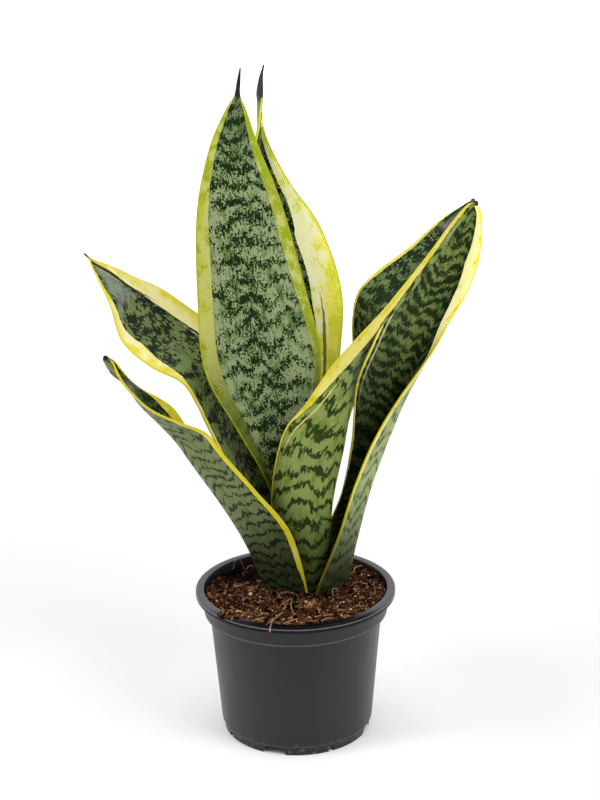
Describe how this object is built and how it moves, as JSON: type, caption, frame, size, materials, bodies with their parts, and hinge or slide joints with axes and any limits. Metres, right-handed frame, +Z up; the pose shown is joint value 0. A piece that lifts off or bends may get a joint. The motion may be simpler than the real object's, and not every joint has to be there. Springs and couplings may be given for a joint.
{
  "type": "potted snake plant",
  "caption": "Young snake plant with stiff, upright, yellow-edged banded leaves rising from one crown, growing in a round plastic nursery pot filled with soil.",
  "frame": {"origin": "under the middle of the whole plant's bounding box, on the surface that the pot stands on; the pot's own axis is 6.5 mm to the +X side of it", "axes": "+Z up along the pot's axis, +X to the right as seen from the front, -Y to the front, the side of the picture"},
  "size_m": [0.2338, 0.12, 0.3966],
  "materials": {
    "pot_plastic": "fine satin moulded plastic, charcoal",
    "potting_soil": "loose crumbly peat, matte",
    "rhizome_skin": "smooth pale root skin",
    "leaf_variegated": "waxy satin leaf, green with dark bands and yellow margins"
  },
  "bodies": {
    "root": {"pot": "pot_plastic", "soil": "potting_soil", "rhizome": "rhizome_skin", "leaf_tall_front": "leaf_variegated", "leaf_tall_back": "leaf_variegated", "leaf_right_front": "leaf_variegated", "leaf_right_back": "leaf_variegated", "leaf_left_upper": "leaf_variegated", "leaf_left_lower": "leaf_variegated"}
  },
  "joints": []
}
